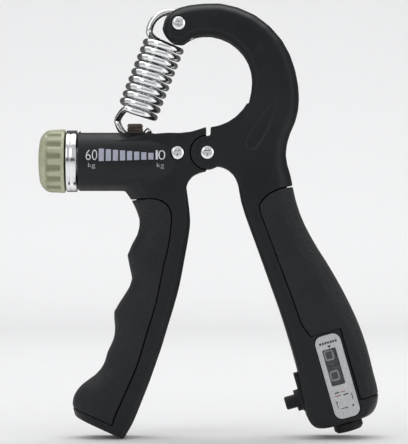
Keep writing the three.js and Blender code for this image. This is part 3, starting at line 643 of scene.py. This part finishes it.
def button_spring():
    """A light spring behind the button."""
    path = wire_path("button_spring", BUTTON_CAD_SIDES)
    made = wire("button_coil", rounder(path, 3), BUTTON_WIRE_RADIUS, BUTTON_SIDES, PAINTS["plain_steel"])
    stand_for(made, "button_spring")
    made.parent = None
    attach(made, "palm_handle")
    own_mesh(made)


# ---------- print ----------
def glyph(text, width, height, weight):
    """A text fitted to a size and centred, as 2D points and faces. A negative weight thins its strokes."""
    curve = bpy.data.curves.new("glyph", "FONT")
    curve.body = text
    curve.offset = weight
    curve.resolution_u = 6
    made = bpy.data.objects.new("glyph", curve)
    SCENE.collection.objects.link(made)
    bpy.context.view_layer.update()
    mesh = evaluated(made)
    bpy.data.objects.remove(made)
    points = coordinates(mesh)[:, :2]
    low, high = points.min(0), points.max(0)
    points = (points - (low + high) / 2) / (high - low) * np.array([width, height])
    faces = [tuple(p.vertices) for p in mesh.polygons]
    return points, faces


def flat_shape(points, faces, step):
    """A bmesh of a flat drawing, cut into strips so that it can be laid on a curved face."""
    drawing = bmesh.new()
    verts = [drawing.verts.new((x, y, 0)) for x, y in points]
    for face in faces:
        drawing.faces.new([verts[i] for i in face])
    bmesh.ops.remove_doubles(drawing, verts=drawing.verts, dist=1e-7)
    spread = np.array([v.co for v in drawing.verts])
    for axis in (0, 1):
        low, high = spread[:, axis].min(), spread[:, axis].max()
        for cut in np.arange(low + step, high, step):
            place, normal = Vector((0, 0, 0)), Vector((0, 0, 0))
            place[axis], normal[axis] = cut, 1
            everything = drawing.verts[:] + drawing.edges[:] + drawing.faces[:]
            bmesh.ops.bisect_plane(drawing, geom=everything, plane_co=place, plane_no=normal)
    return drawing


def rectangle(width, height, x=0.0, y=0.0):
    w, h = width / 2, height / 2
    return np.array([[x - w, y - h], [x + w, y - h], [x + w, y + h], [x - w, y + h]]), [(0, 1, 2, 3)]


def triangle(size, x, y, turn):
    corners = [(size * math.cos(turn + a), size * math.sin(turn + a)) for a in (math.pi / 2, 3.67, 5.76)]
    return np.array([[x + a, y + b] for a, b in corners]), [(0, 1, 2)]


def moved(shape, x, y):
    return shape[0] + np.array([x, y]), shape[1]


INK_THICKNESS = 0.05 * MM


def printed(name, shapes, to_surface, body, material, step=0.5 * MM):
    """Lays flat shapes on a surface. to_surface takes a point of the drawing to a point in the row frame."""
    whole = bmesh.new()
    for points, faces in shapes:
        part = flat_shape(points, faces, step)
        mesh = bpy.data.meshes.new("part")
        part.to_mesh(mesh)
        part.free()
        whole.from_mesh(mesh)
        bpy.data.meshes.remove(mesh)
    for vert in whole.verts:
        vert.co = to_surface(vert.co.x, vert.co.y)
    mesh = bpy.data.meshes.new(name)
    whole.to_mesh(mesh)
    whole.free()
    made = add_object(name, mesh, material)
    bake_modifier(made, "SOLIDIFY", thickness=INK_THICKNESS, offset=0.0)
    made.data.materials.clear()
    made.data.materials.append(material)
    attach(made, body)
    return made


BARREL_RADIUS = 0.012


def surface_finder(made):
    """Finds where a line along +Y first meets a piece."""
    points = [Vector(v.co) for v in made.data.vertices]
    tree = BVHTree.FromPolygons(points, [tuple(p.vertices) for p in made.data.polygons])

    def find(x, z):
        hit = tree.ray_cast(Vector((x, -0.1, z)), Vector((0, 1, 0)))[0]
        return -BARREL_RADIUS if hit is None else hit.y

    return find


SCALE_ABOVE_AXIS = 2.1 * MM
SCALE_LIFT = 0.035 * MM
SCALE_BARS = 8
SCALE_START, SCALE_END = 9.2 * MM, 21.2 * MM
BAR_WIDTH, TALL_BAR, SHORT_BAR = 1.95 * MM, 4.7 * MM, 2.5 * MM
BAR_SINK = 0.5 * MM
THIN, THINNER = -0.012, -0.02
# Text, width, height, weight, and the distance in mm from the knob or, where negative, from the hinge.
SCALE_NUMBERS = [("60", 4.3, 3.9, THIN, 5.5), ("1", 0.8, 3.5, THIN, -19.0), ("0", 2.6, 3.5, THIN, -17.1)]
SCALE_UNITS = [("kg", 2.6, 2.2, THINNER, 5.6), ("kg", 2.6, 2.2, THINNER, -17.6)]
UNITS_DROP = 4.1 * MM


def barrel_print(core):
    """The force scale on the barrel's front: 60 kg at the knob's end and 10 kg at the hinge's."""
    find = surface_finder(core)
    centre = JOINTS["knob_turn"]["pos_m"][2]
    left = JOINTS["knob_turn"]["pos_m"][0]
    pivot = JOINTS["grip_pivot"]["pos_m"][0]
    line = centre + SCALE_ABOVE_AXIS

    def onto(x, z):
        return Vector((x, find(x, z) - SCALE_LIFT, z))

    start, end = left + SCALE_START, pivot - SCALE_END
    bars = []
    for i in range(SCALE_BARS):
        share = i / (SCALE_BARS - 1)
        height = TALL_BAR + (SHORT_BAR - TALL_BAR) * share
        x = start + (end - start) * share
        bars.append(rectangle(BAR_WIDTH, height, x, line - BAR_SINK * share))
    printed("scale_bars", bars, onto, "finger_handle", BAR_INK)
    marks = []
    for texts, height in ((SCALE_NUMBERS, line), (SCALE_UNITS, line - UNITS_DROP)):
        for text, wide, tall, weight, along in texts:
            x = (left if along > 0 else pivot) + along * MM
            marks.append(moved(glyph(text, wide * MM, tall * MM, weight), x, height))
    printed("scale_numbers", marks, onto, "finger_handle", WHITE_INK, step=0.4 * MM)


# The label's marks in mm: bars as (width, height, across, along), pointers as (size, across, along, turn).
LABEL_DASHES = [(0.7, 0.85, -3.0 + i, 13.1) for i in range(7)]
LABEL_BARS = [
    (1.7, 0.45, -1.9, -6.0), (1.9, 0.45, 1.2, -7.3), (0.3, 2.3, 3.3, -8.6),
    (0.26, 2.2, -2.95, -10.7), (2.0, 0.26, -1.0, -12.2)]
LABEL_POINTERS = [
    (0.75, 0.0, 11.6, math.pi), (0.5, -2.95, -9.4, 0.0),
    (0.5, 0.2, -12.2, -math.pi / 2), (0.62, 2.7, -12.0, math.pi)]
LABEL_RED_BARS = [(2.3, 0.34, -1.9, -7.2), (1.2, 0.34, 0.6, -6.1)]
LABEL_LIFT = 0.02 * MM


def label_print():
    """Generic marks on the counter's label: a pointer over the window, short rows and arrows under it."""
    low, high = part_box("label_plate")
    centre = (low + high) / 2
    face = low.y - LABEL_LIFT

    def onto(x, z):
        place = centre + ACROSS * x + ALONG * z
        return Vector((place.x, face, place.z))

    def bars(sizes):
        return [rectangle(*(size * MM for size in bar)) for bar in sizes]

    pointers = [triangle(size * MM, x * MM, z * MM, turn) for size, x, z, turn in LABEL_POINTERS]
    printed("label_marks", bars(LABEL_DASHES + LABEL_BARS) + pointers, onto, "palm_handle", BLACK_INK)
    printed("label_red_marks", bars(LABEL_RED_BARS), onto, "palm_handle", RED_INK)


# The strokes of each digit from 0 to 9: a is the top one, b to f follow it round, and g is the middle one.
SEGMENTS = ("abcdef", "bc", "abged", "abgcd", "fgbc", "afgcd", "afgedc", "abc", "abcdefg", "abcdfg")


def square_digit(number, width, height, stroke):
    """A squared digit of up to seven strokes, with its outer corners cut."""
    w, h, s, c = width / 2, height / 2, stroke, stroke * 0.8
    gap = 0.02 * MM
    upright_bar = [(-w, gap), (-w, h - c), (-w + c, h), (-w + s, h), (-w + s, gap)]
    bars = {"a": rectangle(2 * (w - s), s, 0, h - s / 2), "d": rectangle(2 * (w - s), s, 0, -h + s / 2),
            "g": rectangle(2 * (w - s) - gap, s)}
    for letter, across, up in (("f", 1, 1), ("b", -1, 1), ("e", 1, -1), ("c", -1, -1)):
        corners = [(x * across, y * up) for x, y in upright_bar]
        bars[letter] = (np.array(corners if across * up > 0 else corners[::-1]), [(0, 1, 2, 3, 4)])
    return [bars[letter] for letter in SEGMENTS[number]]


DIGIT_WIDTH, DIGIT_HEIGHT, DIGIT_STROKE = 3.9 * MM, 3.6 * MM, 0.62 * MM
DIGIT_LIFT = 0.02 * MM


def wheel_digits(node, name):
    """The numbers 0 to 9 round a counter wheel, read with the handle on its side."""
    points = coordinates(NODES[node].data) - np.array(AXLE)
    heights = points @ np.array(ALONG)
    middle = (heights.min() + heights.max()) / 2
    radius = np.sqrt(((points - np.outer(heights, ALONG)) ** 2).sum(1)).max()
    shapes = []
    for number in range(10):
        for bar in square_digit(number, DIGIT_WIDTH, DIGIT_HEIGHT, DIGIT_STROKE):
            shapes.append(moved(bar, 0, number * 2 * math.pi * radius / 10))

    def onto(right, up):
        angle = up / radius
        out = FRONT * math.cos(angle) + ACROSS * math.sin(angle)
        return AXLE + ALONG * (middle - right) + out * (radius + DIGIT_LIFT)

    printed(name, shapes, onto, BODY_OF[node], DIGIT_INK)


# ---------- CAD nodes that stay ----------
KEPT_SPLIT = math.radians(32)


def keep_cad(node):
    """Gives a CAD node its material and smooth shading between its sharp edges."""
    made = NODES[node]
    mesh = made.data
    custom = mesh.attributes.get("custom_normal")
    if custom is not None:
        mesh.attributes.remove(custom)
    mesh.shade_smooth()
    weld = made.modifiers.new("weld", "WELD")
    weld.merge_threshold = WELD_DISTANCE
    split = made.modifiers.new("split", "EDGE_SPLIT")
    split.split_angle = KEPT_SPLIT
    mesh.materials.clear()
    mesh.materials.append(PAINTS[SLOTS[node]])


# CAD node: new piece, voxel in mm, smoothing passes, how many of them round the corners too,
# the distance from a corner, in mm, where the smoothing is full, and the most faces.
SOFT_PARTS = {
    "palm_handle_core": ("palm_handle_shell", 0.4, 22, 2, 1.5, 100000),
    "finger_handle_core": ("finger_handle_shell", 0.38, 22, 2, 1.5, 100000),
    "adjuster_knob": ("ribbed_knob", 0.2, 10, 4, 0.8, 70000),
    "pivot_screw": ("pivot_screw_head", 0.11, 8, 2, 0.5, 30000),
    "barrel_screw": ("barrel_screw_head", 0.11, 8, 2, 0.5, 30000),
    "arm_screw": ("arm_screw_head", 0.11, 8, 2, 0.5, 30000),
    "pivot_cap_nut": ("pivot_cap", 0.12, 8, 2, 0.5, 20000),
    "barrel_cap_nut": ("barrel_cap", 0.12, 8, 2, 0.5, 20000),
    "arm_cap_nut": ("arm_cap", 0.12, 8, 2, 0.5, 20000),
    "spring_nut": ("sliding_nut", 0.14, 10, 2, 0.6, 50000),
    "button_bezel": ("bezel", 0.16, 8, 3, 0.6, 30000),
    "count_button": ("push_button", 0.12, 10, 3, 0.6, 30000),
    "end_cap": ("foot_cap", 0.2, 10, 3, 0.8, 40000),
    "reset_knob": ("reset_turner", 0.16, 10, 3, 0.6, 30000),
    "label_plate": ("label", 0.14, 6, 2, 0.5, 40000),
}
for soft_node, (soft_name, voxel, even, crisp, reach, most) in SOFT_PARTS.items():
    softened(soft_node, soft_name, voxel, even, crisp, reach, most)
collar()
grip("palm_grip_sleeve", "palm_grip", lean=-0.42)
grip("finger_grip_sleeve", "finger_grip", lean=0.33)
tension_spring()
button_spring()
barrel_print(bpy.data.objects["finger_handle_shell"])
label_print()
wheel_digits("tens_wheel", "tens_digits")
wheel_digits("units_wheel", "units_digits")
REPLACED = {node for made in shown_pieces() for node in made.get("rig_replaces", [])}
for cad_node in NODES:
    if cad_node not in REPLACED:
        keep_cad(cad_node)


# ---------- studio ----------
# The floor's profile in metres: it reaches far in front, and its back curves up from the bend into a wall.
FLOOR_FRONT, FLOOR_SIDES, FLOOR_BEND, WALL_TOP = -9.0, 9.0, 0.9, 3.0
BEND_RADIUS, BEND_STEPS = 0.7, 12
PAPER_DIM, PAPER_BRIGHT, PAPER_HIGH, PAPER_MIRRORED = 0.87, 0.89, 0.77, 0.1


def grey(level):
    return (level, level, level)


def studio_floor():
    """A pale floor that curves up into a backdrop; what bright parts mirror of its back is dark."""
    profile = [(FLOOR_FRONT, 0.0), (FLOOR_BEND, 0.0)]
    for i in range(1, BEND_STEPS + 1):
        angle = math.pi / 2 * i / BEND_STEPS
        profile.append((FLOOR_BEND + BEND_RADIUS * math.sin(angle), BEND_RADIUS * (1 - math.cos(angle))))
    profile.append((FLOOR_BEND + BEND_RADIUS, WALL_TOP))
    points = [Vector((x, y, z)) for y, z in profile for x in (-FLOOR_SIDES, FLOOR_SIDES)]
    faces = [(2 * i, 2 * i + 1, 2 * i + 3, 2 * i + 2) for i in range(len(profile) - 1)]
    p = Paint("studio_paper")
    tone = p.mixed(p.ranged(p.noise(3, 2), 0, 1), grey(PAPER_DIM), grey(PAPER_BRIGHT))
    mirrored = p.tree.nodes.new("ShaderNodeLightPath").outputs["Is Glossy Ray"]
    place = p.node("SeparateXYZ", Vector=p.place)
    behind = p.ranged(place.outputs[1], 0, 1, 0.02, 0.2)
    hidden = p.combined("Math", mirrored, behind, "MULTIPLY")
    tone = p.mixed(p.ranged(place.outputs[2], 0, 1, 0.02, 0.3), tone, grey(PAPER_HIGH))
    tone = p.mixed(hidden, tone, grey(PAPER_MIRRORED))
    floor = mesh_from("floor", points, faces, p.set(Base_Color=tone, Roughness=0.45))
    floor.data.shade_smooth()


def area_light(name, place, aim, width, height, watts):
    light = bpy.data.lights.new(name, "AREA")
    light.shape = "RECTANGLE"
    light.size, light.size_y, light.energy = width, height, watts
    made = bpy.data.objects.new(name, light)
    SCENE.collection.objects.link(made)
    made.location = place
    made.rotation_mode = "QUATERNION"
    made.rotation_quaternion = (Vector(aim) - Vector(place)).to_track_quat("-Z", "Y")


SKY, DARK_SKY = 0.63, 0.1
SKY_TINT = (0.97, 0.98, 1, 1)
MIDDLE = (0.0, 0.0, 0.08)
# Name, place, aim, width, height and watts.
LIGHTS = [
    ("overhead", (0.0, 0.0, 1.1), MIDDLE, 1.2, 0.9, 3.4),
    ("key", (-0.6, -0.75, 0.6), MIDDLE, 0.45, 0.6, 1.5),
    ("fill", (0.85, -0.45, 0.3), MIDDLE, 0.35, 0.8, 0.9),
    ("backdrop", (0.0, 0.5, 1.3), (0.0, 0.95, 0.0), 2.2, 0.7, 11.5),
]


def ramp(tree, value, start, end, low, high):
    """A soft step of a value, from low at the start to high at the end."""
    made = tree.nodes.new("ShaderNodeMapRange")
    made.interpolation_type = "SMOOTHSTEP"
    tree.links.new(value, made.inputs["Value"])
    for key, number in (("From Min", start), ("From Max", end), ("To Min", low), ("To Max", high)):
        made.inputs[key].default_value = number
    return made.outputs[0]


def sky_maths(tree, operation, *values):
    made = tree.nodes.new("ShaderNodeMath")
    made.operation = operation
    for socket, value in zip(made.inputs, values):
        tree.links.new(value, socket)
    return made.outputs[0]


def studio_sky():
    """Soft light from all round, with a dark strip behind the camera for bright metal to mirror."""
    world = bpy.data.worlds.new("studio")
    world.use_nodes = True
    tree = world.node_tree
    sky = tree.nodes["Background"]
    sky.inputs["Color"].default_value = SKY_TINT
    look = tree.nodes.new("ShaderNodeTexCoord").outputs["Generated"]
    split = tree.nodes.new("ShaderNodeSeparateXYZ")
    tree.links.new(look, split.inputs[0])
    above = ramp(tree, sky_maths(tree, "ABSOLUTE", split.outputs[2]), 0.1, 0.26, 0, 1)
    beyond = ramp(tree, split.outputs[1], -0.95, -0.6, 0, 1)
    lit = sky_maths(tree, "MAXIMUM", above, beyond)
    tree.links.new(ramp(tree, lit, 0, 1, DARK_SKY, SKY), sky.inputs["Strength"])
    SCENE.world = world


CAMERA_DISTANCE = 0.9
CAMERA_HEIGHT = 81.8 * MM
CAMERA_X = -1.8 * MM
FRAME_HEIGHT = 168.7 * MM


def studio_camera():
    """Level, square to the front, framed as in a catalogue view."""
    data = bpy.data.cameras.new("camera")
    data.sensor_width = 36
    data.lens = 36 * CAMERA_DISTANCE / FRAME_HEIGHT
    data.clip_start = 0.05
    camera = bpy.data.objects.new("camera", data)
    SCENE.collection.objects.link(camera)
    camera.location = (CAMERA_X, -CAMERA_DISTANCE, CAMERA_HEIGHT)
    camera.rotation_euler = (math.pi / 2, 0, 0)
    SCENE.camera = camera


studio_floor()
studio_sky()
for light_values in LIGHTS:
    area_light(*light_values)
SCENE.view_settings.view_transform = "Standard"
studio_camera()
